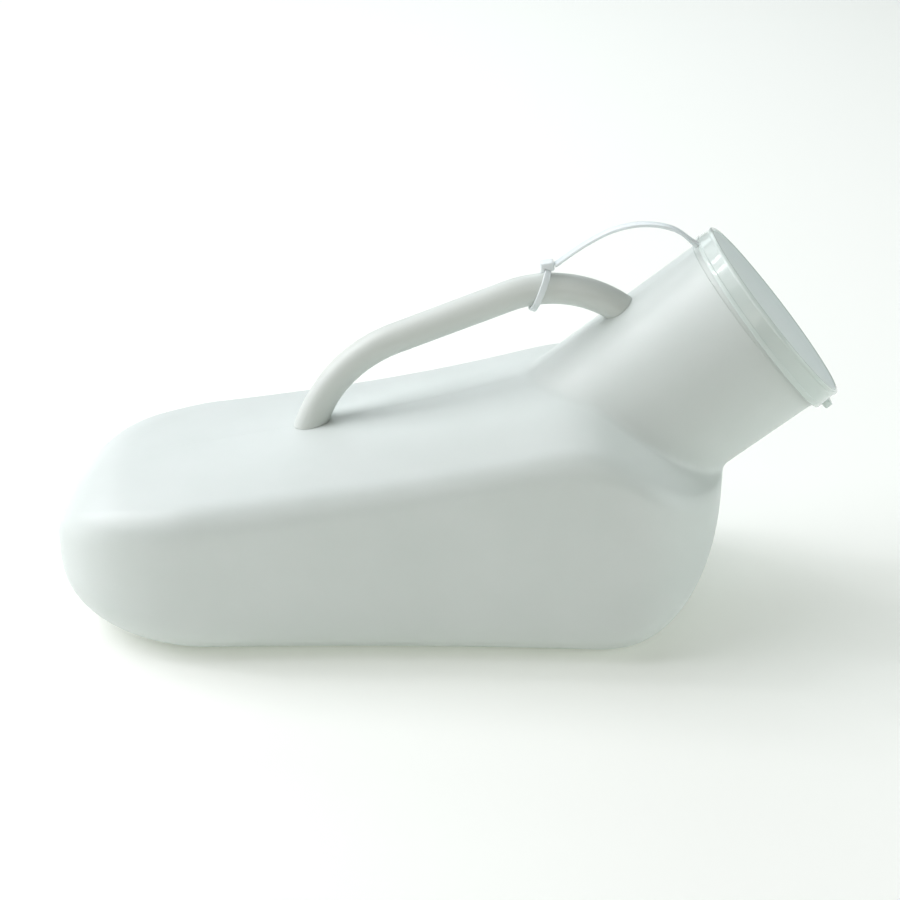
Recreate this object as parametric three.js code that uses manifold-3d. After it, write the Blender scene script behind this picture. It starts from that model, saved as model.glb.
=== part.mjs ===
// Urine bottle: a blow-moulded bottle that lies on its long flat side, a round rod handle, and a
// press-on cap kept captive by a strap whose other end is looped round the handle.
// Millimetres. +X runs along the bottle towards the mouth, +Z is up, and the XZ plane is the plane
// of symmetry. The origin is under the middle of the whole object, on the surface it rests on.

import * as THREE from 'three';
import { mergeVertices } from 'three/addons/utils/BufferGeometryUtils.js';
import Module from 'manifold-3d';

const wasm = await Module();
wasm.setup();

const { sin, cos, atan, log, exp, PI } = Math;
const { clamp, lerp, degToRad } = THREE.MathUtils;

// ---- driving dimensions -------------------------------------------------------------------------

const WALL = 1.3; // blow-moulded wall
const GAP = 0.3; // left between two pieces that touch
const OVERRUN = 10; // how far a cutting solid runs past what it cuts
const WELD = 1e-4; // points closer than this are one point

const BODY = {
  rearX: -134.5, // tip of the rear end
  frontX: 97.8, // tip of the front end, under the neck
  waistX: -11.5, // where the three plan half-widths below are 75 mm apart
  waistReach: 75,
  halfWidths: [50, 48.9, 51.9], // at the rear, at the waist and at the front
  rearPlan: { reach: 56, power: 2.2 }, // rounding of the outline seen from above
  frontPlan: { reach: 34.4, power: 2.2 },
  rearTop: { reach: 32, power: 2.5 }, // rounding of the outline seen from the side
  rearBase: { reach: 60, power: 1.9 },
  frontTop: { reach: 9.5, power: 2 },
  frontBase: { reach: 45.7, power: 2.1 },
  rearTipHeight: 21,
  frontTipHeight: 60,
  baseFillet: 14,
  shoulderRadius: 10.5,
};

// The crown's height: a cubic in steps of one span, then a straight run, then a facet that falls
// away in front of the neck.
const CROWN = {
  x: -16.5,
  span: 50,
  height: 72.9,
  slope: 11.4,
  bend: 1.4,
  flare: 0.3,
  facetX: 52.5,
  facetSlope: -0.75,
  facetBlend: 6,
  dropRear: 3.4, // how far the shoulders lie below the crown
  dropFront: 10.8,
};

const NECK = {
  tilt: 38.8, // degrees above the horizontal
  radius: 33.4,
  length: 112, // from the mouth to deep inside the body
  finishRadius: 33.3, // the straight ring that the cap snaps over
  finishLength: 8,
};

const CAP = {
  centre: [112.95, 108.79], // X and Z of the middle of the outer face
  tilt: 40.4,
  radius: 35,
  boreRadius: 33.85,
  depth: 7.6, // on the axis: the skirt's open edge is square to the neck, not to the face
  plate: 1.4,
  rimHeight: 0.2, // raised rim round the face
  rimWidth: 2.4,
  corner: 0.9,
  beadRadius: 35.2, // bead round the open edge of the skirt
  beadHeight: 1.6,
};

const TAB = { root: 34.4, reach: 39.4, halfWidth: 6, corner: 2.2, thickness: 2.8, height: -7.7 };

const HANDLE = {
  radius: 5.2,
  rearBend: { centre: [3.3, 51.6], radius: 50, from: 84, to: 21.8 }, // degrees of the rod's slope
  frontBend: { centre: [37.8, 75.7], radius: 40.4, from: 21.8, to: -34 },
  runIn: 6, // straight end that goes into the neck
};

const STRAP = {
  width: 4,
  thickness: 1,
  line: [[39.1, 124.9], [48.2, 131.6], [57.9, 136.7], [67.7, 138.5], [77.7, 136.7], [84.9, 131.53]],
};

const RING = {
  centre: [33.6, 116],
  lean: 20, // degrees that the top of the loop leans forwards
  innerHalfHeight: 7.2,
  innerHalfWidth: 5.8,
  thickness: 0.9,
  width: 2.2,
};

// Placed and tilted relative to the ring, which runs through the groove under it.
const LOCK = { offset: [-0.7, 8.4], tilt: -30, size: [5.6, 4.8, 3], corner: 0.8 };

const STEPS = { round: 64, rod: 20, stations: 40, crown: 4, shoulder: 5, fillet: 5, bend: 9, strap: 30 };

// ---- solids -------------------------------------------------------------------------------------

// Position only, welded, without collapsed triangles, and with the faces outwards.
function weld(geometry) {
  const bare = geometry.clone();
  bare.deleteAttribute('normal');
  bare.deleteAttribute('uv');
  const merged = mergeVertices(bare, WELD);
  const index = [...merged.index.array];
  const corner = (i) => new THREE.Vector3().fromBufferAttribute(merged.attributes.position, i);
  const faces = [];
  let volume = 0;
  for (let i = 0; i < index.length; i += 3) {
    const [a, b, c] = index.slice(i, i + 3);
    if (a === b || b === c || c === a) continue;
    faces.push([a, b, c]);
    volume += corner(a).dot(corner(b).cross(corner(c)));
  }
  const outwards = volume > 0 ? faces : faces.map(([a, b, c]) => [a, c, b]);
  merged.setIndex(outwards.flat());
  return merged;
}

function toSolid(geometry) {
  const welded = weld(geometry);
  return new wasm.Manifold(new wasm.Mesh({
    numProp: 3,
    vertProperties: new Float32Array(welded.attributes.position.array),
    triVerts: new Uint32Array(welded.index.array),
  }));
}

function toGeometry(solid) {
  const { vertProperties, triVerts } = solid.getMesh();
  const geometry = new THREE.BufferGeometry();
  geometry.setAttribute('position', new THREE.BufferAttribute(vertProperties, 3));
  geometry.setIndex(new THREE.BufferAttribute(triVerts, 1));
  geometry.computeVertexNormals();
  return geometry;
}

// A section carried along a line in the XZ plane; the section's own X ends up across the plane.
function sweep(section, points, steps) {
  const extrudePath = new THREE.CatmullRomCurve3(points.map(([x, z]) => new THREE.Vector3(x, 0, z)));
  const curveSegments = STEPS.rod / 2;
  return new THREE.ExtrudeGeometry(section, { steps, extrudePath, curveSegments, bevelEnabled: false });
}

// ---- bottle -------------------------------------------------------------------------------------

// Rises from 0 at the tip of an end to 1 at its reach, round like a superellipse.
function rounding(distance, { reach, power }) {
  const u = clamp(distance / reach, 0, 1);
  return (1 - (1 - u) ** power) ** (1 / power);
}

function sideHalfWidth(x) {
  const [rear, waist, front] = BODY.halfWidths;
  const t = clamp((x - BODY.waistX) / BODY.waistReach, -1, 1);
  return waist + (front - rear) / 2 * t + ((front + rear) / 2 - waist) * t * t;
}

function crownHeight(x) {
  const { span, height, slope, bend, flare, facetX, facetSlope, facetBlend } = CROWN;
  const t = (x - CROWN.x) / span;
  const curved = (u) => height + slope * u + bend * u ** 2 + flare * u ** 3;
  const straight = (u) => curved(1) + (slope + 2 * bend + 3 * flare) * (u - 1);
  const line = t < 1 ? curved(t) : straight(t);
  const facet = straight((facetX - CROWN.x) / span) + facetSlope * (x - facetX);
  return -facetBlend * log(exp(-line / facetBlend) + exp(-facet / facetBlend));
}

// Half of a full cross-section, from the middle of the crown round to the middle of the base.
function halfSection(halfWidth, height, drop) {
  const { shoulderRadius: shoulder, baseFillet: fillet } = BODY;
  let edge = halfWidth - shoulder;
  let start = 0;
  for (let pass = 0; pass < 4; pass++) {
    start = atan(2 * drop / edge);
    edge = halfWidth - shoulder * (1 - sin(start));
  }
  const shoulderZ = height - drop - shoulder * cos(start);
  const points = [];
  for (let i = 0; i < STEPS.crown; i++) {
    const u = i / STEPS.crown;
    points.push([edge * u, height - drop * u * u]);
  }
  for (let i = 0; i <= STEPS.shoulder; i++) {
    const angle = lerp(start, PI / 2, i / STEPS.shoulder);
    points.push([halfWidth - shoulder * (1 - sin(angle)), shoulderZ + shoulder * cos(angle)]);
  }
  points.push([halfWidth, (shoulderZ + fillet) / 2]);
  for (let i = 0; i <= STEPS.fillet; i++) {
    const angle = PI / 2 * i / STEPS.fillet;
    points.push([halfWidth - fillet * (1 - cos(angle)), fillet * (1 - sin(angle))]);
  }
  points.push([(halfWidth - fillet) / 2, 0], [0, 0]);
  return points;
}

// The closed cross-section at x. An inset moves the whole skin inwards by that much.
function bodyRing(x, inset) {
  const fromRear = x - BODY.rearX - inset;
  const fromFront = BODY.frontX - inset - x;
  const halfWidth = sideHalfWidth(x);
  const height = crownHeight(x);
  const across = (halfWidth - inset) / halfWidth
    * rounding(fromRear, BODY.rearPlan) * rounding(fromFront, BODY.frontPlan);
  const rearTop = lerp(BODY.rearTipHeight, height - inset, rounding(fromRear, BODY.rearTop));
  const top = lerp(BODY.frontTipHeight, rearTop, rounding(fromFront, BODY.frontTop));
  const base = inset
    + (BODY.rearTipHeight - inset) * (1 - rounding(fromRear, BODY.rearBase))
    + (BODY.frontTipHeight - inset) * (1 - rounding(fromFront, BODY.frontBase));
  const along = clamp((x - BODY.waistX + BODY.waistReach) / (2 * BODY.waistReach), 0, 1);
  const half = halfSection(halfWidth, height, lerp(CROWN.dropRear, CROWN.dropFront, along));
  const mirrored = half.slice(1, -1).reverse().map(([y, z]) => [-y, z]);
  return [...half, ...mirrored].map(([y, z]) => (
    new THREE.Vector3(x, y * across, lerp(base, top, z / height))
  ));
}

// Skins rings that all have the same number of points and closes each end on a tip.
function loft(rings, rearTip, frontTip) {
  const count = rings[0].length;
  const points = [...rings.flat(), rearTip, frontTip];
  const rear = points.length - 2;
  const lastRow = (rings.length - 1) * count;
  const faces = [];
  for (let i = 0; i < count; i++) {
    const next = (i + 1) % count;
    faces.push(rear, next, i, rear + 1, lastRow + i, lastRow + next);
    for (let row = 0; row < lastRow; row += count) {
      const ahead = row + count;
      faces.push(row + i, row + next, ahead + next, row + i, ahead + next, ahead + i);
    }
  }
  return new THREE.BufferGeometry().setFromPoints(points).setIndex(faces);
}

function bodySolid(inset) {
  const from = BODY.rearX + inset;
  const to = BODY.frontX - inset;
  const rings = [];
  for (let i = 1; i < STEPS.stations; i++) {
    rings.push(bodyRing(lerp(from, to, (1 - cos(PI * i / STEPS.stations)) / 2), inset));
  }
  const rearTip = new THREE.Vector3(from, 0, BODY.rearTipHeight);
  const frontTip = new THREE.Vector3(to, 0, BODY.frontTipHeight);
  return toSolid(loft(rings, rearTip, frontTip));
}

// Moves a shape made round +Z to the mouth, with +Z pointing out of it and +X down to the tab.
function atMouth(geometry, tilt) {
  const [x, z] = CAP.centre;
  return toSolid(geometry.rotateY(degToRad(90 - tilt)).translate(x, 0, z));
}

function cylinder(radius, fromZ, toZ) {
  return new THREE.CylinderGeometry(radius, radius, toZ - fromZ, STEPS.round)
    .rotateX(PI / 2)
    .translate(0, 0, (fromZ + toZ) / 2);
}

// The neck is cut square to the cap, and the finish ring carries on from there.
function neckSolid(inset, endZ) {
  const cutZ = -CAP.plate - GAP - NECK.finishLength;
  const size = 4 * NECK.radius;
  const beyond = new THREE.BoxGeometry(size, size, size).translate(0, 0, cutZ + size / 2);
  return atMouth(cylinder(NECK.radius - inset, -NECK.length, OVERRUN), NECK.tilt)
    .subtract(atMouth(beyond, CAP.tilt))
    .add(atMouth(cylinder(NECK.finishRadius - inset, cutZ - WALL, endZ), CAP.tilt));
}

function bottleSolid(inset, mouthZ) {
  return bodySolid(inset).add(neckSolid(inset, mouthZ));
}

function makeBottle() {
  const outside = bottleSolid(0, -CAP.plate - GAP);
  const inside = bottleSolid(WALL, OVERRUN);
  return toGeometry(outside.subtract(inside));
}

// ---- handle -------------------------------------------------------------------------------------

function bendPoints({ centre: [x, z], radius, from, to }) {
  const points = [];
  for (let i = 0; i <= STEPS.bend; i++) {
    const slope = degToRad(lerp(from, to, i / STEPS.bend));
    points.push([x - radius * sin(slope), z + radius * cos(slope)]);
  }
  return points;
}

function makeHandle() {
  const front = bendPoints(HANDLE.frontBend);
  const [endX, endZ] = front.at(-1);
  const slope = degToRad(HANDLE.frontBend.to);
  const neckEnd = [endX + HANDLE.runIn * cos(slope), endZ + HANDLE.runIn * sin(slope)];
  const section = new THREE.Shape().absarc(0, 0, HANDLE.radius, 0, 2 * PI);
  const line = [...bendPoints(HANDLE.rearBend), ...front, neckEnd];
  const rod = toSolid(sweep(section, line, 2 * line.length));
  return toGeometry(rod.subtract(bottleSolid(-GAP, -CAP.plate)));
}

// ---- cap ----------------------------------------------------------------------------------------

function lathe(profile) {
  const points = profile.map(([r, z]) => new THREE.Vector2(r, z));
  return new THREE.LatheGeometry(points, STEPS.round).rotateX(PI / 2);
}

function capDisc() {
  const { radius, boreRadius, depth, plate, rimHeight, rimWidth, corner } = CAP;
  const rimFoot = radius - rimWidth;
  const halfTurn = (1 - Math.SQRT1_2) * corner;
  return toSolid(lathe([
    [0, -rimHeight],
    [rimFoot - rimHeight, -rimHeight],
    [rimFoot, 0],
    [radius - corner, 0],
    [radius - halfTurn, -halfTurn], // middle of the rounded corner
    [radius, -corner],
    [radius, -2 * depth],
    [boreRadius, -2 * depth],
    [boreRadius, -plate],
    [0, -plate],
  ]));
}

// Trims the skirt square to the neck and adds the bead along that edge.
function edgeSkirt(disc) {
  const { radius, boreRadius, depth, plate, beadRadius, beadHeight } = CAP;
  const atEdge = (geometry) => toSolid(
    geometry.rotateY(degToRad(CAP.tilt - NECK.tilt)).translate(0, 0, -depth),
  );
  const slopeEnd = beadHeight + beadRadius - boreRadius;
  const bead = [[0, 0], [beadRadius, 0], [beadRadius, beadHeight], [boreRadius, slopeEnd], [0, slopeEnd]];
  return disc
    .subtract(atEdge(cylinder(2 * radius, -2 * depth, 0)))
    .add(atEdge(lathe(bead)).subtract(toSolid(cylinder(boreRadius, -2 * depth, -plate))));
}

function tabSolid() {
  const { root, reach, halfWidth, corner, thickness, height } = TAB;
  const outline = new THREE.Shape();
  outline.moveTo(root, -halfWidth);
  outline.absarc(reach - corner, corner - halfWidth, corner, -PI / 2, 0);
  outline.absarc(reach - corner, halfWidth - corner, corner, 0, PI / 2);
  outline.lineTo(root, halfWidth);
  const settings = { depth: thickness, bevelEnabled: false, curveSegments: STEPS.fillet };
  return toSolid(new THREE.ExtrudeGeometry(outline, settings).translate(0, 0, height));
}

function makeCap() {
  return toGeometry(edgeSkirt(capDisc()).add(tabSolid()));
}

// ---- tether -------------------------------------------------------------------------------------

function makeStrap() {
  const { width, thickness, line } = STRAP;
  const section = new THREE.Shape()
    .moveTo(-width / 2, -thickness / 2)
    .lineTo(width / 2, -thickness / 2)
    .lineTo(width / 2, thickness / 2)
    .lineTo(-width / 2, thickness / 2);
  return toGeometry(toSolid(sweep(section, line, STEPS.strap)));
}

// The loop stands across +X. A clearance makes it fatter all over, to cut its groove in the lock.
function ringSolid(clearance) {
  const { innerHalfHeight, innerHalfWidth, thickness, width } = RING;
  const outer = thickness + clearance;
  const band = new THREE.Shape()
    .absellipse(0, 0, innerHalfHeight + outer, innerHalfWidth + outer, 0, 2 * PI);
  band.holes.push(new THREE.Path()
    .absellipse(0, 0, innerHalfHeight - clearance, innerHalfWidth - clearance, 0, 2 * PI));
  const depth = width + 2 * clearance;
  const settings = { depth, bevelEnabled: false, curveSegments: STEPS.rod };
  const loop = new THREE.ExtrudeGeometry(band, settings).translate(0, 0, -depth / 2);
  return toSolid(loop.rotateY(-PI / 2));
}

function makeLock() {
  const [length, width, thickness] = LOCK.size;
  const [x, y] = [length / 2 - LOCK.corner, width / 2 - LOCK.corner];
  const outline = new THREE.Shape();
  [[x, y], [-x, y], [-x, -y], [x, -y]].forEach(([cornerX, cornerY], quarter) => {
    outline.absarc(cornerX, cornerY, LOCK.corner, quarter * PI / 2, (quarter + 1) * PI / 2);
  });
  const settings = { depth: thickness, bevelEnabled: false, curveSegments: 2 };
  const [offsetX, offsetZ] = LOCK.offset;
  const block = new THREE.ExtrudeGeometry(outline, settings)
    .translate(0, 0, -thickness / 2)
    .rotateY(degToRad(LOCK.tilt))
    .translate(offsetX, 0, offsetZ);
  return toGeometry(toSolid(block).subtract(ringSolid(GAP)));
}

// ---- assembly -----------------------------------------------------------------------------------

function piece(name, geometry, color, roughness) {
  const material = new THREE.MeshStandardMaterial({ color, roughness, metalness: 0 });
  const mesh = new THREE.Mesh(geometry, material);
  mesh.name = name;
  return mesh;
}

function place(object, [x, z], lean) {
  object.position.set(x, 0, z);
  object.rotation.y = degToRad(lean);
  return object;
}

const tetherEnd = new THREE.Group().add(
  piece('tether_ring', toGeometry(ringSolid(0)), 0xd3e3e0, 0.3),
  piece('tether_lock', makeLock(), 0xd8e6e3, 0.3),
);

export default new THREE.Group().add(
  piece('bottle_shell', makeBottle(), 0xe4ecea, 0.42),
  piece('grip_handle', makeHandle(), 0xeceee4, 0.38),
  place(piece('snap_cap', makeCap(), 0xd6e4e0, 0.22), CAP.centre, 90 - CAP.tilt),
  piece('tether_strap', makeStrap(), 0xd3e3e0, 0.3),
  place(tetherEnd, RING.centre, RING.lean),
);
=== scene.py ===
"""Looks of the urine bottle: every piece is rebuilt finely, in millimetres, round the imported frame."""
from math import cos, pi, radians, sin

import bmesh
import bpy
import numpy as np
from mathutils import Matrix, Vector
from mathutils.bvhtree import BVHTree


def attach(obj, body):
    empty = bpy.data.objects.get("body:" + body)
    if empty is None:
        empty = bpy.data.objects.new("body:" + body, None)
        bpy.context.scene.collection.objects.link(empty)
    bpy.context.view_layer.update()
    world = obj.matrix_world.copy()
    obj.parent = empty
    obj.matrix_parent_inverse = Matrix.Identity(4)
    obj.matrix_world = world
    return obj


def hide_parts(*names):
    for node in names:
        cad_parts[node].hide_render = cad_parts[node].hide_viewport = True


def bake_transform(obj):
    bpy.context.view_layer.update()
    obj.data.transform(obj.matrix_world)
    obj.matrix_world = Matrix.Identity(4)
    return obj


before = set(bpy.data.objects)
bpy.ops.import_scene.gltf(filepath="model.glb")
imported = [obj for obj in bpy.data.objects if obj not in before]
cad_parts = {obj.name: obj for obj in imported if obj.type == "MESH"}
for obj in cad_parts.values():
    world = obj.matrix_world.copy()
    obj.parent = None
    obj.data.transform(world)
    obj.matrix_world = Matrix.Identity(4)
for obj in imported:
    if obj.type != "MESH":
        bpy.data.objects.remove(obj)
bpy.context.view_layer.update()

MM = 0.001

# ---- driving dimensions, in millimetres -----------------------------------------------------------

WALL = 1.3
SEAT = 0.06  # hairline left where the handle meets the bottle
SMOOTH_BEND = 38  # a shading edge stays crisp where the surface bends by more degrees than this

REAR_X, FRONT_X = -134.5, 97.8
WAIST_X, WAIST_REACH = -11.5, 75.0
HALF_WIDTHS = (50.0, 48.9, 51.9)
REAR_TIP, FRONT_TIP = 21.0, 60.0
REAR_PLAN, FRONT_PLAN = (56.0, 2.2), (34.4, 2.2)
REAR_TOP, REAR_BASE = (32.0, 2.5), (60.0, 1.9)
FRONT_TOP, FRONT_BASE = (9.5, 2.0), (45.7, 2.1)
SHOULDER, FILLET = 10.5, 14.0
SHOULDER_PASSES = 8
SECTION_STEPS = (22, 9, 16, 10, 14)  # crown, shoulder, side, fillet and base of half a section
# stations along X, and how many times finer than SECTION_STEPS each one is
SKIN_GRID, SEAT_GRID, INSIDE_GRID = (240, 2), (160, 1), (130, 1)

CROWN_X, CROWN_SPAN = -16.5, 50.0
CROWN_CUBIC = (72.9, 11.4, 1.4, 0.3)
FACET_X, FACET_SLOPE, FACET_BLEND = 52.5, -0.75, 6.0  # where the crown turns down to the front end
DROP_REAR, DROP_FRONT = 3.4, 10.8  # how far the crown falls from its middle to its edges

CAP_CENTRE = (112.95, 108.79)
CAP_TILT, NECK_TILT = 40.4, 38.8
NECK_RADIUS, NECK_LENGTH = 33.4, 112.0
NECK_OVERRUN, CUTTER_TOP, BORE_TOP = 8, 60, 10  # tools that reach past the mouth
FINISH_RADIUS, FINISH_LENGTH = 33.3, 7.0  # the ring that the cap presses onto
LIP, LIP_START = 0.6, 15.0
CREASE_RADIUS = 2.6  # reach of the rounding where the neck leaves the body
CREASE_PASSES, CREASE_PULL = 10, 0.5
FAR = 1e3  # stands for a distance that is too large to matter
VOXEL = 1.2  # the remesh's cell size, which sets how many faces the shell has; keeps the shell under the export's limit of faces
WELD = 0.005
ROUND_STEPS, BORE_STEPS = 256, 192

CAP_RADIUS, CAP_BORE, CAP_DEPTH, CAP_PLATE = 35.0, 33.85, 7.6, 1.4
CAP_EDGE, RIM_START, RIM_TURN = 0.95, 88.0, 35.0  # round rim, from the face to under the edge
DISH, DISH_SLOPE, DISH_STEPS = 0.35, 0.9, 9  # how far the face is sunk, and the width of its slope
SKIRT_RADIUS, SKIRT_TOP = 34.85, 2.2  # the skirt is drawn in below the rim
SKIRT_DRAW, SKIRT_FLARE = 2.2, 1.6  # powers that shape its curve under the rim and down to the bead
BEAD_RADIUS, BEAD_HEIGHT, BEAD_EDGE = 35.17, 1.6, 0.25
BEAD_PROUD, BEAD_FOOT, BEAD_RISE, BEAD_START = 0.18, 0.3, 0.1, 70.0  # the bead's small upper step
LEAD_IN = (0.3, 0.4)  # width and height of the bevel at the bore's open edge
CORNER_DROP, CORNER_BEND, CORNER_REACH = 0.6, (0.25, 0.2), 0.8  # the bore's blunt inner corner
TAB_ROOT, TAB_REACH, TAB_WIDTH, TAB_THICKNESS, TAB_HEIGHT = 34.4, 39.4, 12.0, 2.8, -7.7
TAB_CORNER, TAB_EDGE = 2.2, 0.55
MOUTH_Z = -1.7
RIM_FOOT = CAP_RADIUS - CAP_EDGE - DISH_SLOPE  # the sunk face ends here

ROD_RADIUS, ROD_FOOT = 5.2, 0.7
FOOT_START, FOOT_SPAN = 8, 16  # along the rod, where it narrows from its foot
ROD_END = 6  # straight length that ends in the neck
REAR_BEND = ((3.3, 51.6), 50.0, 84.0, 21.8)
FRONT_BEND = ((37.8, 75.7), 40.4, 21.8, -34.0)

STRAP_LINE = ((39.1, 124.9), (48.2, 131.6), (57.9, 136.7), (67.7, 138.5), (77.7, 136.7), (84.9, 131.53))
STRAP_WIDTH, STRAP_THICKNESS, STRAP_EDGE = 4.0, 0.998, 0.38
STRAP_SPLIT = 0.5  # where the rear piece ends and the front piece begins
STRAP_SPACING = 0.5
LOCK_REACH, CAP_REACH = 0.9, 0.4  # how far the strap goes on to meet the lock and the cap
ROOT_LENGTH, ROOT_SWELL = 6.0, 0.8  # the strap thickens where it leaves the cap

RING_CENTRE, RING_LEAN = (33.6, 116.0), 20.0
RING_INNER = (7.2, 5.8)
RING_THICKNESS, RING_WIDTH, RING_EDGE = 0.9, 2.2, 0.35
RING_STEPS = 96
LOCK_OFFSET, LOCK_TILT, LOCK_SIZE = (-0.7, 8.4), -30.0, (4.6, 4.6, 3.0)
LOCK_EDGE, LOCK_CORNER, LOCK_GAP = 0.45, 0.9, 0.2

# ---- meshes -----------------------------------------------------------------------------------------


def new_object(name, points, faces):
    mesh = bpy.data.meshes.new(name)
    mesh.from_pydata((np.asarray(points, float) * MM).tolist(), [], faces)
    mesh.update()
    obj = bpy.data.objects.new(name, mesh)
    bpy.context.scene.collection.objects.link(obj)
    return obj


def face_out(obj):
    bm = bmesh.new()
    bm.from_mesh(obj.data)
    bmesh.ops.recalc_face_normals(bm, faces=bm.faces)
    bm.to_mesh(obj.data)
    bm.free()
    return obj


def apply_modifier(obj, kind, **settings):
    modifier = obj.modifiers.new(kind.title(), kind)
    for key, value in settings.items():
        setattr(modifier, key, value)
    graph = bpy.context.evaluated_depsgraph_get()
    mesh = bpy.data.meshes.new_from_object(obj.evaluated_get(graph), depsgraph=graph)
    obj.modifiers.clear()
    old, obj.data = obj.data, mesh
    bpy.data.meshes.remove(old)
    return obj


def remove(obj):
    mesh = obj.data
    bpy.data.objects.remove(obj)
    bpy.data.meshes.remove(mesh)


def combine(obj, other, operation):
    """obj joined to or cut by other, which is then removed."""
    apply_modifier(obj, "BOOLEAN", object=other, operation=operation, solver="MANIFOLD")
    remove(other)
    return obj


def weld(obj):
    """Merges points that the booleans left on top of one another, so that no sliver stays."""
    bm = bmesh.new()
    bm.from_mesh(obj.data)
    bmesh.ops.triangulate(bm, faces=[face for face in bm.faces if len(face.verts) > 4])
    bmesh.ops.dissolve_degenerate(bm, dist=WELD * MM, edges=bm.edges)
    bm.to_mesh(obj.data)
    bm.free()
    return obj


def grid_faces(rows, columns, closed_rows=False):
    """Quads over a grid of points whose rows are closed loops."""
    faces = []
    for row in range(rows if closed_rows else rows - 1):
        here, ahead = row * columns, (row + 1) % rows * columns
        for i in range(columns):
            j = (i + 1) % columns
            faces.append((here + i, here + j, ahead + j, ahead + i))
    return faces


def loft(name, rings, ends):
    """Skin over closed rings; each end is a point to close on, or None for a flat face."""
    rings = np.asarray(rings, float)
    rows, columns, _ = rings.shape
    points = list(rings.reshape(-1, 3))
    faces = grid_faces(rows, columns)
    for end, start in zip(ends, (0, (rows - 1) * columns)):
        loop = list(range(start, start + columns))
        if end is None:
            faces.append(tuple(loop))
            continue
        tip = len(points)
        points.append(np.asarray(end, float))
        faces += [(tip, loop[i], loop[(i + 1) % columns]) for i in range(columns)]
    return face_out(new_object(name, points, faces))


def lathe(name, profile, steps):
    """Solid of revolution round +Z from (radius, z) points, with its ends on the axis or meeting."""
    angles = np.linspace(0, 2 * pi, steps, endpoint=False)
    inner = [p for p in profile if p[0] > 1e-6]
    rings = [[(r * cos(a), r * sin(a), z) for a in angles] for r, z in inner]
    if len(inner) == len(profile):
        points = np.array(rings).reshape(-1, 3)
        return face_out(new_object(name, points, grid_faces(len(rings), steps, closed_rows=True)))
    return loft(name, rings, ((0, 0, profile[0][1]), (0, 0, profile[-1][1])))


def arc(centre, radius, start, end, steps):
    """Points on a plane arc, with angles in degrees."""
    return [
        (centre[0] + radius * cos(radians(a)), centre[1] + radius * sin(radians(a)))
        for a in np.linspace(start, end, steps)
    ]


def place(obj, centre, lean):
    """Turns a piece made round +Z by lean degrees about +Y and moves it to its X and Z."""
    move = Matrix.Translation(Vector((centre[0], 0, centre[1])) * MM)
    obj.data.transform(move @ Matrix.Rotation(radians(lean), 4, "Y"))
    return obj


def shade(obj, sharp=SMOOTH_BEND):
    """Smooth faces, with the edges that bend more than sharp degrees left crisp."""
    bm = bmesh.new()
    bm.from_mesh(obj.data)
    for face in bm.faces:
        face.smooth = True
    for edge in bm.edges:
        edge.smooth = not (len(edge.link_faces) == 2 and edge.calc_face_angle(0) > radians(sharp))
    bm.to_mesh(obj.data)
    bm.free()
    return obj


# ---- bottle -----------------------------------------------------------------------------------------


def rounding(distance, shape):
    """Rises from 0 to 1 over the shape's reach, as a rounded corner of the shape's power does."""
    reach, power = shape
    u = np.clip(distance / reach, 0, 1)
    return (1 - (1 - u) ** power) ** (1 / power)


def mix(a, b, t):
    return a + (b - a) * t


def smoothstep(t):
    return t * t * (3 - 2 * t)


def side_half_width(x):
    rear, waist, front = HALF_WIDTHS
    t = np.clip((x - WAIST_X) / WAIST_REACH, -1, 1)
    return waist + (front - rear) / 2 * t + ((front + rear) / 2 - waist) * t * t


def crown_height(x):
    height, slope, bend, flare = CROWN_CUBIC
    t = (x - CROWN_X) / CROWN_SPAN

    def curved(u):
        return height + slope * u + bend * u ** 2 + flare * u ** 3

    def straight(u):
        return curved(1) + (slope + 2 * bend + 3 * flare) * (u - 1)

    line = np.where(t < 1, curved(t), straight(t))
    facet = straight((FACET_X - CROWN_X) / CROWN_SPAN) + FACET_SLOPE * (x - FACET_X)
    return -FACET_BLEND * np.logaddexp(-line / FACET_BLEND, -facet / FACET_BLEND)


def half_section(half_width, height, drop, fine):
    """Half cross-sections (station, point, (y, z)), from the crown's middle to the base's middle."""
    edge = half_width - SHOULDER
    for _ in range(SHOULDER_PASSES):
        start = np.arctan(2 * drop / edge)
        edge = half_width - SHOULDER * (1 - np.sin(start))
    shoulder_z = height - drop - SHOULDER * np.cos(start)
    column = [v[:, None] for v in (half_width, height, drop, edge, start, shoulder_z)]
    half_width, height, drop, edge, start, shoulder_z = column
    crown, shoulder, side, fillet, flat = (steps * fine + 1 for steps in SECTION_STEPS)
    u = np.linspace(0, 1, crown)[None, :-1]
    turn = mix(start, pi / 2, np.linspace(0, 1, shoulder)[None])
    down = np.linspace(0, 1, side)[None, 1:-1]
    under = np.linspace(0, pi / 2, fillet)[None]
    back = np.linspace(1, 0, flat)[None, 1:]
    y = [
        edge * u,
        half_width - SHOULDER * (1 - np.sin(turn)),
        half_width + 0 * down,
        half_width - FILLET * (1 - np.cos(under)),
        (half_width - FILLET) * back,
    ]
    z = [
        height - drop * u * u,
        shoulder_z + SHOULDER * np.cos(turn),
        mix(shoulder_z, FILLET, down),
        FILLET * (1 - np.sin(under)) + 0 * half_width,
        0 * back + 0 * half_width,
    ]
    return np.stack([np.concatenate(y, 1), np.concatenate(z, 1)], 2)


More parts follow.
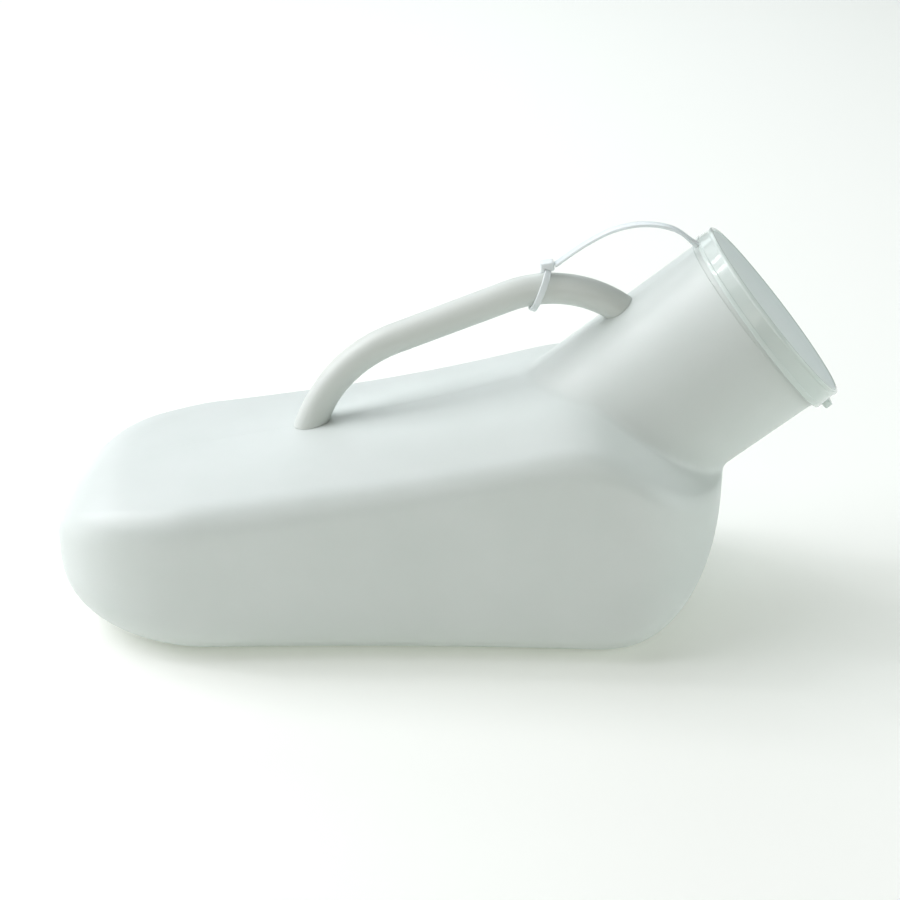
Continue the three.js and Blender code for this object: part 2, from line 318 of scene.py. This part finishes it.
def body(name, inset, stations, fine):
    """The bottle's body without its neck, with its skin moved inwards by inset."""
    start, end = REAR_X + inset, FRONT_X - inset
    x = mix(start, end, (1 - np.cos(pi * np.arange(1, stations) / stations)) / 2)
    half_width, height = side_half_width(x), crown_height(x)
    across = (half_width - inset) / half_width
    across = across * rounding(x - start, REAR_PLAN) * rounding(end - x, FRONT_PLAN)
    top = mix(REAR_TIP, height - inset, rounding(x - start, REAR_TOP))
    top = mix(FRONT_TIP, top, rounding(end - x, FRONT_TOP))
    base = inset + (REAR_TIP - inset) * (1 - rounding(x - start, REAR_BASE))
    base = base + (FRONT_TIP - inset) * (1 - rounding(end - x, FRONT_BASE))
    along = np.clip((x - WAIST_X + WAIST_REACH) / (2 * WAIST_REACH), 0, 1)
    half = half_section(half_width, height, mix(DROP_REAR, DROP_FRONT, along), fine)
    mirrored = half[:, -2:0:-1] * (-1, 1)
    ring = np.concatenate([half, mirrored], 1)
    y = ring[:, :, 0] * across[:, None]
    z = mix(base[:, None], top[:, None], ring[:, :, 1] / height[:, None])
    rings = np.stack([x[:, None] + 0 * y, y, z], 2)
    return loft(name, rings, ((start, 0, REAR_TIP), (end, 0, FRONT_TIP)))


def rod_at_mouth(name, radius, from_z, to_z, tilt, steps=ROUND_STEPS):
    """A cylinder whose axis goes through the centre of the cap's face, where its z is 0."""
    profile = [(0, from_z), (radius, from_z), (radius, to_z), (0, to_z)]
    return place(lathe(name, profile, steps), CAP_CENTRE, 90 - tilt)


def axis_distance(points, tilt):
    """Distance of each point from the tilted axis through the mouth, in millimetres."""
    direction = np.array([cos(radians(tilt)), 0, sin(radians(tilt))])
    relative = points - np.array([CAP_CENTRE[0], 0, CAP_CENTRE[1]])
    along = relative @ direction
    return np.linalg.norm(relative - along[:, None] * direction, axis=1)


def read_points(obj):
    points = np.empty(len(obj.data.vertices) * 3)
    obj.data.vertices.foreach_get("co", points)
    return points.reshape(-1, 3) / MM


def write_points(obj, points):
    obj.data.vertices.foreach_set("co", (points * MM).ravel())
    obj.data.update()


def round_crease(obj, body_skin):
    """Relaxes the skin where the neck leaves the body, so that the crease gets a soft radius."""
    points = read_points(obj)
    off_neck = axis_distance(points, NECK_TILT) - NECK_RADIUS
    near = np.abs(off_neck) < CREASE_RADIUS
    tree = BVHTree.FromObject(body_skin, bpy.context.evaluated_depsgraph_get())
    to_body = np.full(len(points), FAR)
    for i in np.flatnonzero(near):
        to_body[i] = tree.find_nearest(Vector(points[i] * MM))[3] / MM
    distance = np.hypot(off_neck, to_body)
    weight = smoothstep(np.clip(1 - distance / CREASE_RADIUS, 0, 1)[:, None])
    edges = np.empty(len(obj.data.edges) * 2, int)
    obj.data.edges.foreach_get("vertices", edges)
    a, b = edges.reshape(-1, 2).T
    count = np.bincount(edges, minlength=len(points))[:, None]
    for _ in range(CREASE_PASSES):
        total = np.empty_like(points)
        for axis in range(3):
            total[:, axis] = np.bincount(a, points[b, axis], len(points))
            total[:, axis] += np.bincount(b, points[a, axis], len(points))
        points += CREASE_PULL * weight * (total / count - points)
    write_points(obj, points)
    return obj


def blown_skin():
    """Body and neck in one even mesh, drawn onto their exact surfaces, with a soft crease between."""
    skin = body("body_skin", 0, *SKIN_GRID)
    union = body("union", 0, *SKIN_GRID)
    neck = rod_at_mouth("neck", NECK_RADIUS, -NECK_LENGTH, NECK_OVERRUN, NECK_TILT)
    combine(union, neck, "UNION")
    shell = union.copy()
    shell.data = union.data.copy()
    shell.name = "urine_bottle_shell"
    bpy.context.scene.collection.objects.link(shell)
    apply_modifier(shell, "REMESH", mode="VOXEL", voxel_size=VOXEL * MM, adaptivity=0)
    apply_modifier(shell, "SHRINKWRAP", target=union, wrap_method="NEAREST_SURFACEPOINT")
    round_crease(shell, skin)
    remove(union)
    remove(skin)
    return shell


def finish_ring(base):
    """The turned end of the neck, from base up to the rounded lip of the mouth."""
    profile = [(0, base), (FINISH_RADIUS, base), (FINISH_RADIUS, MOUTH_Z - LIP)]
    profile += arc((FINISH_RADIUS - LIP, MOUTH_Z - LIP), LIP, LIP_START, 90, 6)
    profile += [(0, MOUTH_Z)]
    return place(lathe("finish", profile, ROUND_STEPS), CAP_CENTRE, 90 - CAP_TILT)


def make_bottle():
    shell = blown_skin()
    cut = MOUTH_Z - FINISH_LENGTH
    base = cut - WALL
    combine(shell, rod_at_mouth("beyond", 2 * NECK_RADIUS, cut, CUTTER_TOP, CAP_TILT), "DIFFERENCE")
    combine(shell, finish_ring(base), "UNION")
    inside = body("inside", WALL, *INSIDE_GRID)
    bore = rod_at_mouth("bore", NECK_RADIUS - WALL, -NECK_LENGTH, cut, NECK_TILT, BORE_STEPS)
    combine(inside, bore, "UNION")
    bore = rod_at_mouth("finish_bore", FINISH_RADIUS - WALL, base, BORE_TOP, CAP_TILT, BORE_STEPS)
    combine(inside, bore, "UNION")
    combine(shell, inside, "DIFFERENCE")
    return shade(weld(shell))


# ---- handle -----------------------------------------------------------------------------------------


def bend(shape):
    """A bend of the rod's centre line, between two slopes in degrees."""
    (x, z), radius, start, end = shape
    slopes = np.radians(np.linspace(start, end, 60))
    return np.stack([x - radius * np.sin(slopes), z + radius * np.cos(slopes)], 1)


def resample(line, spacing):
    """Points at even spacing along a plane line."""
    line = np.asarray(line, float)
    length = np.concatenate([[0], np.cumsum(np.linalg.norm(np.diff(line, axis=0), axis=1))])
    at = np.linspace(0, length[-1], int(length[-1] / spacing) + 1)
    return np.stack([np.interp(at, length, line[:, i]) for i in (0, 1)], 1)


def sweep(name, line, section):
    """section(i) gives the closed (across, up) outline at point i of a line in the XZ plane."""
    tangent = np.gradient(line, axis=0)
    tangent /= np.linalg.norm(tangent, axis=1)[:, None]
    rings = []
    for i, ((x, z), (tx, tz)) in enumerate(zip(line, tangent)):
        outline = np.asarray(section(i), float)
        up = outline[:, 1]
        rings.append(np.stack([x - tz * up, outline[:, 0], z + tx * up], 1))
    return loft(name, rings, (None, None))


def make_handle():
    front = bend(FRONT_BEND)
    run = np.radians(FRONT_BEND[3])
    end = front[-1] + ROD_END * np.array([cos(run), sin(run)])
    line = resample([*bend(REAR_BEND), *front, end], 1.0)
    turn = np.linspace(0, 2 * pi, 48, endpoint=False)
    circle = np.stack([np.cos(turn), np.sin(turn)], 1)
    flare = np.clip(1 - (np.arange(len(line)) - FOOT_START) / FOOT_SPAN, 0, 1) ** 2
    rod = sweep("urine_bottle_handle", line, lambda i: circle * (ROD_RADIUS + ROD_FOOT * flare[i]))
    seat = body("seat", -SEAT, *SEAT_GRID)
    neck = rod_at_mouth("seat_neck", NECK_RADIUS + SEAT, -NECK_LENGTH, MOUTH_Z, NECK_TILT)
    combine(seat, neck, "UNION")
    combine(rod, seat, "DIFFERENCE")
    return shade(rod)


# ---- cap --------------------------------------------------------------------------------------------


def skirt_outside():
    """The cap's outer profile as (radius, z) points: rim, drawn-in skirt and the bead at its edge."""
    profile = arc((CAP_RADIUS - CAP_EDGE, -CAP_EDGE), CAP_EDGE, RIM_START, -RIM_TURN, 18)
    under = profile[-1]
    for t in np.linspace(0, 1, 10)[1:]:
        ease = 1 - (1 - t) ** SKIRT_DRAW
        profile.append((mix(under[0], SKIRT_RADIUS, ease), mix(under[1], -SKIRT_TOP, t)))
    bead_top = BEAD_HEIGHT - CAP_DEPTH
    foot_radius, foot_z = BEAD_RADIUS - BEAD_PROUD, bead_top + BEAD_FOOT
    for t in np.linspace(0, 1, 8)[1:]:
        radius = mix(SKIRT_RADIUS, foot_radius, t ** SKIRT_FLARE)
        profile.append((radius, mix(-SKIRT_TOP, foot_z, t)))
    edge_radius = BEAD_RADIUS - BEAD_EDGE
    profile += arc((edge_radius, bead_top - BEAD_EDGE + BEAD_RISE), BEAD_EDGE, BEAD_START, 0, 5)
    profile += arc((edge_radius, BEAD_EDGE - CAP_DEPTH), BEAD_EDGE, 0, -90, 5)
    return profile


def bore_inside():
    """The cap's inner profile as (radius, z) points, from its open edge to the axis."""
    open_edge, plate = -CAP_DEPTH, -CAP_PLATE
    return [
        (CAP_BORE + LEAD_IN[0], open_edge),
        (CAP_BORE, open_edge + LEAD_IN[1]),
        (CAP_BORE, plate - CORNER_DROP),
        (CAP_BORE - CORNER_BEND[0], plate - CORNER_BEND[1]),
        (CAP_BORE - CORNER_REACH, plate),
        (0, plate),
    ]


def make_cap():
    """The skirt's open edge is square to the neck, so it slants a little against the face."""
    slope = np.linspace(0, 1, DISH_STEPS)
    face = [(0, -DISH), *zip(RIM_FOOT + DISH_SLOPE * slope, -DISH * (1 - smoothstep(slope)))]
    cap = lathe("urine_bottle_cap", face + skirt_outside() + bore_inside(), ROUND_STEPS)
    points = read_points(cap)
    low = np.clip((-points[:, 2] - SKIRT_TOP) / (CAP_DEPTH - SKIRT_TOP), 0, 1)
    points[:, 2] -= low * points[:, 0] * np.tan(radians(CAP_TILT - NECK_TILT))
    write_points(cap, points)
    size = (TAB_REACH - TAB_ROOT, TAB_WIDTH, TAB_THICKNESS)
    tab = rounded_block("tab", size, TAB_EDGE, TAB_CORNER)
    middle = Vector(((TAB_ROOT + TAB_REACH) / 2, 0, TAB_HEIGHT + TAB_THICKNESS / 2))
    tab.data.transform(Matrix.Translation(middle * MM))
    combine(cap, tab, "UNION")
    place(cap, CAP_CENTRE, 90 - CAP_TILT)
    return shade(cap, sharp=50)


def rounded_block(name, size, edge, corner):
    """A block with rounded upright corners and softened edges, centred on the origin."""
    half_x, half_y, half_z = (s / 2 for s in size)
    outline = []
    for k, (sx, sy) in enumerate(((1, 1), (-1, 1), (-1, -1), (1, -1))):
        centre = (sx * (half_x - corner), sy * (half_y - corner))
        outline += [(centre, a) for a in np.radians(np.linspace(90 * k, 90 * k + 90, 9))]
    rings = []
    for a in np.radians(np.linspace(-90, 90, 14)):
        z = sin(a) * edge + (half_z - edge if a > 0 else edge - half_z)
        inset = edge * (1 - cos(a))
        reach = corner - inset
        rings.append([(c[0] + reach * cos(t), c[1] + reach * sin(t), z) for c, t in outline])
    return loft(name, rings, (None, None))


# ---- tether -----------------------------------------------------------------------------------------


def through(points, steps):
    """Centripetal Catmull-Rom line through plane points."""
    p = np.asarray(points, float)
    p = np.vstack([2 * p[0] - p[1], p, 2 * p[-1] - p[-2]])
    line = []
    for p0, p1, p2, p3 in zip(p, p[1:], p[2:], p[3:]):
        t1 = np.linalg.norm(p1 - p0) ** 0.5
        t2 = t1 + np.linalg.norm(p2 - p1) ** 0.5
        t3 = t2 + np.linalg.norm(p3 - p2) ** 0.5
        for t in np.linspace(t1, t2, steps, endpoint=False):
            a1 = mix(p0, p1, t / t1)
            a2 = mix(p1, p2, (t - t1) / (t2 - t1))
            a3 = mix(p2, p3, (t - t2) / (t3 - t2))
            b1 = mix(a1, a2, t / t2)
            b2 = mix(a2, a3, (t - t1) / (t3 - t1))
            line.append(mix(b1, b2, (t - t1) / (t2 - t1)))
    line.append(p[-2])
    return np.array(line)


def rounded_bar(width, thickness, edge):
    """Outline of a flat bar with rounded edges."""
    outline = []
    for k, (sx, sy) in enumerate(((1, 1), (-1, 1), (-1, -1), (1, -1))):
        centre = (sx * (width / 2 - edge), sy * (thickness / 2 - edge))
        outline += arc(centre, edge, 90 * k, 90 * k + 90, 6)
    return outline


def make_strap():
    """The strap's rear and front pieces, and the point of the line where they meet."""
    line = through(STRAP_LINE, 40)
    back, ahead = line[0] - line[1], line[-1] - line[-2]
    start = line[0] + back / np.linalg.norm(back) * LOCK_REACH
    end = line[-1] + ahead / np.linalg.norm(ahead) * CAP_REACH
    line = resample([start, *line, end], STRAP_SPACING)
    middle = int(len(line) * STRAP_SPLIT)
    bar = np.array(rounded_bar(STRAP_WIDTH, STRAP_THICKNESS, STRAP_EDGE))
    rear = sweep("tether_strap_rear", line[:middle + 1], lambda i: bar)
    to_cap = np.linalg.norm(line[middle:] - line[-1], axis=1)
    swell = np.clip(1 - to_cap / ROOT_LENGTH, 0, 1) ** 2
    front = sweep("tether_strap_front", line[middle:], lambda i: bar * (1, 1 + ROOT_SWELL * swell[i]))
    return shade(rear, sharp=60), shade(front, sharp=60), line[middle]


def make_ring():
    up, across = RING_INNER
    bar = np.array(rounded_bar(RING_WIDTH, RING_THICKNESS, RING_EDGE))
    rings = []
    for t in np.linspace(0, 2 * pi, RING_STEPS, endpoint=False):
        normal = np.array([across * cos(t), up * sin(t)])
        normal /= np.linalg.norm(normal)
        z = up * cos(t) + normal[0] * (bar[:, 1] + RING_THICKNESS / 2)
        y = across * sin(t) + normal[1] * (bar[:, 1] + RING_THICKNESS / 2)
        rings.append(np.stack([bar[:, 0], y, z], 1))
    points = np.array(rings).reshape(-1, 3)
    faces = grid_faces(RING_STEPS, len(bar), closed_rows=True)
    ring = face_out(new_object("tether_loop", points, faces))
    return shade(place(ring, RING_CENTRE, RING_LEAN), sharp=60)


def loop_groove():
    """The space that the loop and a small gap round it take up, to be cut out of the lock."""
    up, across = RING_INNER
    side = RING_WIDTH / 2 + LOCK_GAP
    outer, inner = RING_THICKNESS + LOCK_GAP, -LOCK_GAP
    rings = []
    for t in np.linspace(0, 2 * pi, RING_STEPS, endpoint=False):
        corners = ((side, outer), (-side, outer), (-side, inner), (side, inner))
        rings.append([(x, (across + grow) * sin(t), (up + grow) * cos(t)) for x, grow in corners])
    points = np.array(rings).reshape(-1, 3)
    return face_out(new_object("groove", points, grid_faces(RING_STEPS, 4, closed_rows=True)))


def make_lock():
    block = rounded_block("tether_lock_head", LOCK_SIZE, LOCK_EDGE, LOCK_CORNER)
    block.data.transform(Matrix.Rotation(radians(LOCK_TILT), 4, "Y"))
    block.data.transform(Matrix.Translation(Vector((LOCK_OFFSET[0], 0, LOCK_OFFSET[1])) * MM))
    combine(block, loop_groove(), "DIFFERENCE")
    return shade(place(block, RING_CENTRE, RING_LEAN), sharp=45)


# ---- materials --------------------------------------------------------------------------------------

# noise scale per metre, detail and roughness
CLOUD, WEAR, RIPPLES, GRAIN = (26, 3, 0.55), (55, 4, 0.6), (38, 1, 0.4), (1500, 2, 0.5)
NOISE_LOW, NOISE_HIGH = 0.3, 0.7  # most of a noise lies between these
GLOSS_BELOW, GLOSS_ABOVE = 0.04, 0.06

BOTTLE_COLOURS = (0.661, 0.713, 0.685), (0.696, 0.744, 0.72)
HANDLE_COLOURS = (0.645, 0.682, 0.645), (0.677, 0.71, 0.68)
# one cap plastic in two colours: the rim and skirt darkened as painted shade, the sunk face lightened as
# painted light
SKIRT_PAINTED_SHADE_COLOURS = (0.63, 0.705, 0.67), (0.665, 0.73, 0.70)
FACE_PAINTED_LIGHT_COLOURS = (0.735, 0.825, 0.805), (0.765, 0.845, 0.83)
TETHER_COLOURS = (0.76, 0.81, 0.82), (0.80, 0.845, 0.855)
CAP_POLISH, FACE_MATT = (0.09, 0.15), 0.34
FACE_MARGIN, FACE_DEPTHS = 0.6, (-1.1, -0.8)  # millimetres over which the face's matt finish and its painted light fade

class Nodes:
    def __init__(self, name):
        self.material = bpy.data.materials.new(name)
        self.material.use_nodes = True
        self.tree = self.material.node_tree
        self.shader = self.tree.nodes["Principled BSDF"]
        self.position = self.add("ShaderNodeTexCoord").outputs["Object"]

    def add(self, kind, **settings):
        node = self.tree.nodes.new(kind)
        for key, value in settings.items():
            setattr(node, key, value)
        return node

    def link(self, source, target):
        self.tree.links.new(source, target)

    def noise(self, kind):
        scale, detail, roughness = kind
        node = self.add("ShaderNodeTexNoise")
        node.inputs["Scale"].default_value = scale
        node.inputs["Detail"].default_value = detail
        node.inputs["Roughness"].default_value = roughness
        self.link(self.position, node.inputs["Vector"])
        return node.outputs["Fac"]

    def math(self, operation, a, b=None):
        node = self.add("ShaderNodeMath", operation=operation)
        for socket, value in zip(node.inputs, (a, b)):
            if value is None:
                continue
            if isinstance(value, (int, float)):
                socket.default_value = value
            else:
                self.link(value, socket)
        return node.outputs[0]

    def vector(self, operation, a, b=None):
        node = self.add("ShaderNodeVectorMath", operation=operation)
        for socket, value in zip(node.inputs, (a, b)):
            if isinstance(value, tuple):
                socket.default_value = value
            elif value is not None:
                self.link(value, socket)
        return node.outputs["Value" if operation in ("LENGTH", "DOT_PRODUCT") else "Vector"]

    def mixed(self, factor, a, b):
        node = self.add("ShaderNodeMix", data_type="RGBA")
        self.link(factor, node.inputs["Factor"])
        for source, target in ((a, node.inputs[6]), (b, node.inputs[7])):
            self.link(source, target)
        return node.outputs[2]

    def ranged(self, value, low, high, to_low, to_high):
        node = self.add("ShaderNodeMapRange")
        limits = {"From Min": low, "From Max": high, "To Min": to_low, "To Max": to_high}
        for key, number in limits.items():
            node.inputs[key].default_value = number
        self.link(value, node.inputs["Value"])
        return node.outputs["Result"]

    def colours(self, factor, pair):
        node = self.add("ShaderNodeValToRGB")
        stops = zip(node.color_ramp.elements, (NOISE_LOW, NOISE_HIGH), pair)
        for stop, at, colour in stops:
            stop.position = at
            stop.color = (*colour, 1)
        self.link(factor, node.inputs["Fac"])
        return node.outputs["Color"]

    def bump(self, height, strength, distance, below=None):
        node = self.add("ShaderNodeBump")
        node.inputs["Strength"].default_value = strength
        node.inputs["Distance"].default_value = distance
        self.link(height, node.inputs["Height"])
        if below is not None:
            self.link(below, node.inputs["Normal"])
        return node.outputs["Normal"]


def moulded_surface(nodes, ripple, grain):
    """Slow ripples with a fine grain on them, by their depths in metres."""
    normal = nodes.bump(nodes.noise(RIPPLES), 1.0, ripple)
    return nodes.bump(nodes.noise(GRAIN), 1.0, grain, normal)


def plastic(name, colours, roughness, ripple, grain=0.00002, **sockets):
    """Moulded plastic: cloudy colour, uneven gloss, slow ripples and a fine grain."""
    nodes = Nodes(name)
    cloud = nodes.noise(CLOUD)
    nodes.link(nodes.colours(cloud, colours), nodes.shader.inputs["Base Color"])
    worn = nodes.noise(WEAR)
    low, high = roughness - GLOSS_BELOW, roughness + GLOSS_ABOVE
    nodes.link(nodes.ranged(worn, NOISE_LOW, NOISE_HIGH, low, high), nodes.shader.inputs["Roughness"])
    normal = moulded_surface(nodes, ripple, grain)
    for key, value in sockets.items():
        nodes.shader.inputs[key.replace("_", " ")].default_value = value
    return nodes, normal


def finish_plastic(nodes, normal):
    nodes.link(normal, nodes.shader.inputs["Normal"])
    return nodes.material


def parting_line(nodes, normal, half_width, height):
    """A hair-thin raised line in the plane of symmetry, where the two mould halves met."""
    split = nodes.add("ShaderNodeSeparateXYZ")
    nodes.link(nodes.position, split.inputs[0])
    off = nodes.math("ABSOLUTE", split.outputs["Y"])
    line = nodes.ranged(off, 0, half_width, 1, 0)
    return nodes.bump(line, 1.0, height, normal)


def bottle_material():
    nodes, normal = plastic(
        "natural_polyethylene", BOTTLE_COLOURS, 0.42, ripple=0.0002,
        Subsurface_Weight=0.25, Subsurface_Radius=(0.9, 1.0, 0.95), Subsurface_Scale=0.003,
    )
    return finish_plastic(nodes, parting_line(nodes, normal, half_width=0.0003, height=0.00008))


def handle_material():
    nodes, normal = plastic(
        "white_rod_plastic", HANDLE_COLOURS, 0.36, ripple=0.00005,
        Subsurface_Weight=0.15, Subsurface_Radius=(1.0, 1.0, 0.9), Subsurface_Scale=0.002,
    )
    return finish_plastic(nodes, parting_line(nodes, normal, half_width=0.0002, height=0.00004))


def face_mask(nodes):
    """1 on the cap's sunk face and 0 on its rim and skirt, with a narrow fade between."""
    tilt = radians(CAP_TILT)
    axis = (cos(tilt), 0, sin(tilt))
    centre = (CAP_CENTRE[0] * MM, 0, CAP_CENTRE[1] * MM)
    from_mouth = nodes.vector("SUBTRACT", nodes.position, centre)
    off_axis = nodes.vector("LENGTH", nodes.vector("CROSS_PRODUCT", from_mouth, axis))
    within = nodes.ranged(off_axis, (RIM_FOOT + FACE_MARGIN) * MM, RIM_FOOT * MM, 0, 1)
    above = nodes.vector("DOT_PRODUCT", from_mouth, axis)
    low, high = FACE_DEPTHS
    return nodes.math("MULTIPLY", within, nodes.ranged(above, low * MM, high * MM, 0, 1))


def cap_material():
    """The skirt and rim are polished and coloured darker as painted shade; the sunk face is finely matt
    and coloured lighter as painted light.
    """
    nodes = Nodes("soft_cap_plastic")
    face = face_mask(nodes)
    cloud = nodes.noise(CLOUD)
    # painted shade on the rim and skirt, painted light on the sunk face
    skirt_painted_shade = nodes.colours(cloud, SKIRT_PAINTED_SHADE_COLOURS)
    face_painted_light = nodes.colours(cloud, FACE_PAINTED_LIGHT_COLOURS)
    nodes.link(nodes.mixed(face, skirt_painted_shade, face_painted_light), nodes.shader.inputs["Base Color"])
    polish = nodes.ranged(nodes.noise(WEAR), NOISE_LOW, NOISE_HIGH, *CAP_POLISH)
    gloss = nodes.math("ADD", polish, nodes.math("MULTIPLY", face, FACE_MATT))
    nodes.link(gloss, nodes.shader.inputs["Roughness"])
    for key, value in (("Weight", 0.3), ("Radius", (0.9, 1.0, 1.0)), ("Scale", 0.002)):
        nodes.shader.inputs["Subsurface " + key].default_value = value
    return finish_plastic(nodes, moulded_surface(nodes, ripple=0.00004, grain=0.000008))


def tether_material():
    nodes, normal = plastic(
        "tether_plastic", TETHER_COLOURS, 0.3, ripple=0.00001, grain=0.000004,
        Subsurface_Weight=0.3, Subsurface_Radius=(0.9, 1.0, 1.0), Subsurface_Scale=0.001,
    )
    return finish_plastic(nodes, normal)


# ---- assembly ---------------------------------------------------------------------------------------


def dress(obj, material, slot, *nodes):
    obj.data.materials.clear()
    obj.data.materials.append(material)
    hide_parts(*nodes)
    return obj


tether = tether_material()
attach(dress(make_bottle(), bottle_material(), "bottle_plastic", "bottle_shell"), "bottle")
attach(dress(make_handle(), handle_material(), "handle_plastic", "grip_handle"), "bottle")
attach(dress(make_cap(), cap_material(), "cap_plastic", "snap_cap"), "cap")
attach(dress(make_ring(), tether, "tether_plastic", "tether_ring"), "ring")
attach(dress(make_lock(), tether, "tether_plastic", "tether_lock"), "ring")
rear, front, split = make_strap()
dress(rear, tether, "tether_plastic", "tether_strap")
dress(front, tether, "tether_plastic", "tether_strap")
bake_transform(rear)
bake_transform(front)

# ---- floor, light and camera ------------------------------------------------------------------------

FLOOR_REACH = 6.0  # metres, as all lengths from here on
CAMERA_ELEVATION, CAMERA_DISTANCE, CAMERA_LENS, CAMERA_SENSOR = 25.7, 0.612, 70.0, 36.0
CAMERA_AIM = (0.0035, 0.056)  # x and z of the point in the middle of the view
LOW_AIM, STRIP_AIM = (0, 0, 0.06), (0, 0, 0.1)
SOFTBOX, STRIP = (1.3, 1.2), (0.085, 0.4)
WORLD_COLOUR, WORLD_STRENGTH = (1.0, 1.0, 0.95, 1), 0.08

def stage_floor():
    corners = np.array([(-1, -1, 0), (1, -1, 0), (1, 1, 0), (-1, 1, 0)])
    floor = new_object("floor", corners * FLOOR_REACH / MM, [(0, 1, 2, 3)])
    material = bpy.data.materials.new("pale_floor")
    material.use_nodes = True
    shader = material.node_tree.nodes["Principled BSDF"]
    shader.inputs["Base Color"].default_value = (0.85, 0.85, 0.84, 1)
    shader.inputs["Emission Color"].default_value = (0.93, 1.0, 0.84, 1)
    shader.inputs["Emission Strength"].default_value = 0.17
    shader.inputs["Roughness"].default_value = 0.8
    shader.inputs["Specular IOR Level"].default_value = 0.0
    floor.data.materials.append(material)


def area_light(name, position, target, size, power, colour=(1, 1, 1)):
    """A rectangular soft light aimed at target."""
    light = bpy.data.lights.new(name, "AREA")
    light.shape = "RECTANGLE"
    light.size, light.size_y = size
    light.energy = power
    light.color = colour
    obj = bpy.data.objects.new(name, light)
    obj.location = position
    direction = Vector(target) - Vector(position)
    obj.rotation_euler = direction.to_track_quat("-Z", "Y").to_euler()
    bpy.context.scene.collection.objects.link(obj)


def stage_camera():
    data = bpy.data.cameras.new("camera")
    data.lens = CAMERA_LENS
    data.sensor_width = CAMERA_SENSOR
    data.clip_start = 0.05
    camera = bpy.data.objects.new("camera", data)
    e = radians(CAMERA_ELEVATION)
    aim_x, aim_z = CAMERA_AIM
    camera.location = (aim_x, -CAMERA_DISTANCE * cos(e), aim_z + CAMERA_DISTANCE * sin(e))
    camera.rotation_euler = (pi / 2 - e, 0, 0)
    bpy.context.scene.collection.objects.link(camera)
    bpy.context.scene.camera = camera


def stage_world():
    world = bpy.data.worlds.new("soft_world")
    world.use_nodes = True
    background = world.node_tree.nodes["Background"]
    background.inputs["Color"].default_value = WORLD_COLOUR
    background.inputs["Strength"].default_value = WORLD_STRENGTH
    bpy.context.scene.world = world
    bpy.context.scene.view_settings.view_transform = "Standard"


stage_floor()
area_light("overhead", (-0.05, 0.2, 1.6), (0, 0, 0), (1.4, 1.0), 6.6, (0.92, 0.985, 1.0))
area_light("left_softbox", (-1.2, 0.0, 1.0), LOW_AIM, SOFTBOX, 7.6, (0.99, 0.985, 1.0))
area_light("left_back_softbox", (-1.0, 0.7, 1.0), LOW_AIM, SOFTBOX, 5.8, (0.965, 0.965, 1.0))
area_light("near_left", (-0.75, 0.1, 0.45), LOW_AIM, (0.7, 0.6), 2.8, (0.93, 0.94, 1.0))
area_light("right_fill", (1.2, -0.25, 0.3), LOW_AIM, (0.8, 0.5), 4.0, (0.93, 1.0, 1.0))
area_light("front_fill", (0.0, -1.4, 0.9), LOW_AIM, (1.2, 0.8), 4.9, (1.0, 0.99, 0.935))
area_light("back_softbox", (0.0, 1.4, 0.9), LOW_AIM, (1.2, 0.8), 6.6, (0.9, 0.97, 1.0))
area_light("left_strip_a", (-1.12, 0.74, 1.27), STRIP_AIM, STRIP, 1.8)
area_light("left_strip_b", (-1.12, 0.21, 1.29), STRIP_AIM, STRIP, 1.8)
stage_camera()
stage_world()
